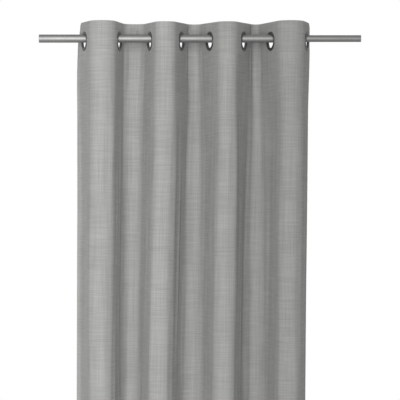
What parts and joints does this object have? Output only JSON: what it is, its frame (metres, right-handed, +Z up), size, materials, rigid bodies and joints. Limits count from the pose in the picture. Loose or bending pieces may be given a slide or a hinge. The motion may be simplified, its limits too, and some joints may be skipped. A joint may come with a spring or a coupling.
{
  "type": "eyelet curtain panel on a rod",
  "caption": "Full-length linen-look eyelet curtain panel hanging in soft waves on a telescopic steel rod, with a stiffened heading and snap-together metal eyelets.",
  "frame": {"origin": "on the rod's axis, midway between the rod's two ends, where the brackets carry the rod", "axes": "+X along the rod from the curtain's fixed edge to its leading edge, +Y from the room side towards the wall, +Z up"},
  "size_m": [0.94, 0.1523, 2.4],
  "materials": {
    "cloth": "linen-look plain weave with slubs, matt mid grey",
    "stiffener": "bonded non-woven heading tape",
    "eyelet_metal": "gunmetal plating, satin",
    "rod_metal": "satin steel"
  },
  "bodies": {
    "rod": {"rod_outer_tube": "rod_metal"},
    "rod_extension": {"rod_inner_tube": "rod_metal"},
    "eyelet_1": {"curtain_cloth_1": "cloth", "heading_stiffener_1": "stiffener", "eyelet_1_front_ring": "eyelet_metal", "eyelet_1_back_ring": "eyelet_metal"},
    "eyelet_2": {"curtain_cloth_2": "cloth", "heading_stiffener_2": "stiffener", "eyelet_2_front_ring": "eyelet_metal", "eyelet_2_back_ring": "eyelet_metal"},
    "eyelet_3": {"curtain_cloth_3": "cloth", "heading_stiffener_3": "stiffener", "eyelet_3_front_ring": "eyelet_metal", "eyelet_3_back_ring": "eyelet_metal"},
    "eyelet_4": {"curtain_cloth_4": "cloth", "heading_stiffener_4": "stiffener", "eyelet_4_front_ring": "eyelet_metal", "eyelet_4_back_ring": "eyelet_metal"},
    "eyelet_5": {"curtain_cloth_5": "cloth", "heading_stiffener_5": "stiffener", "eyelet_5_front_ring": "eyelet_metal", "eyelet_5_back_ring": "eyelet_metal"},
    "eyelet_6": {"curtain_cloth_6": "cloth", "heading_stiffener_6": "stiffener", "eyelet_6_front_ring": "eyelet_metal", "eyelet_6_back_ring": "eyelet_metal"},
    "eyelet_7": {"curtain_cloth_7": "cloth", "heading_stiffener_7": "stiffener", "eyelet_7_front_ring": "eyelet_metal", "eyelet_7_back_ring": "eyelet_metal"},
    "eyelet_8": {"curtain_cloth_8": "cloth", "heading_stiffener_8": "stiffener", "eyelet_8_front_ring": "eyelet_metal", "eyelet_8_back_ring": "eyelet_metal"}
  },
  "joints": [
    {"name": "rod_telescope", "type": "slide", "parent": "rod", "child": "rod_extension", "axis": [1, 0, 0], "range_m": [-0.08, 0.15]},
    {"name": "curtain_slide", "type": "slide", "parent": "rod", "child": "eyelet_1", "axis": [1, 0, 0], "range_m": [-0.1, 0.05]},
    {"name": "gather_2", "type": "slide", "parent": "eyelet_1", "child": "eyelet_2", "axis": [1, 0, 0], "range_m": [-0.048, 0.01], "deforming": ["curtain_cloth_1", "heading_stiffener_1", "curtain_cloth_2", "heading_stiffener_2"]},
    {"name": "gather_3", "type": "slide", "parent": "eyelet_2", "child": "eyelet_3", "axis": [1, 0, 0], "range_m": [-0.048, 0.01], "deforming": ["curtain_cloth_3", "heading_stiffener_3"]},
    {"name": "gather_4", "type": "slide", "parent": "eyelet_3", "child": "eyelet_4", "axis": [1, 0, 0], "range_m": [-0.048, 0.01], "deforming": ["curtain_cloth_4", "heading_stiffener_4"]},
    {"name": "gather_5", "type": "slide", "parent": "eyelet_4", "child": "eyelet_5", "axis": [1, 0, 0], "range_m": [-0.048, 0.01], "deforming": ["curtain_cloth_5", "heading_stiffener_5"]},
    {"name": "gather_6", "type": "slide", "parent": "eyelet_5", "child": "eyelet_6", "axis": [1, 0, 0], "range_m": [-0.048, 0.01], "deforming": ["curtain_cloth_6", "heading_stiffener_6"]},
    {"name": "gather_7", "type": "slide", "parent": "eyelet_6", "child": "eyelet_7", "axis": [1, 0, 0], "range_m": [-0.048, 0.01], "deforming": ["curtain_cloth_7", "heading_stiffener_7"]},
    {"name": "gather_8", "type": "slide", "parent": "eyelet_7", "child": "eyelet_8", "axis": [1, 0, 0], "range_m": [-0.048, 0.01], "deforming": ["curtain_cloth_8", "heading_stiffener_8"]}
  ],
  "couplings": [
    {"joint": "gather_3", "follows": "gather_2", "ratio": 1},
    {"joint": "gather_4", "follows": "gather_2", "ratio": 1},
    {"joint": "gather_5", "follows": "gather_2", "ratio": 1},
    {"joint": "gather_6", "follows": "gather_2", "ratio": 1},
    {"joint": "gather_7", "follows": "gather_2", "ratio": 1},
    {"joint": "gather_8", "follows": "gather_2", "ratio": 1}
  ]
}
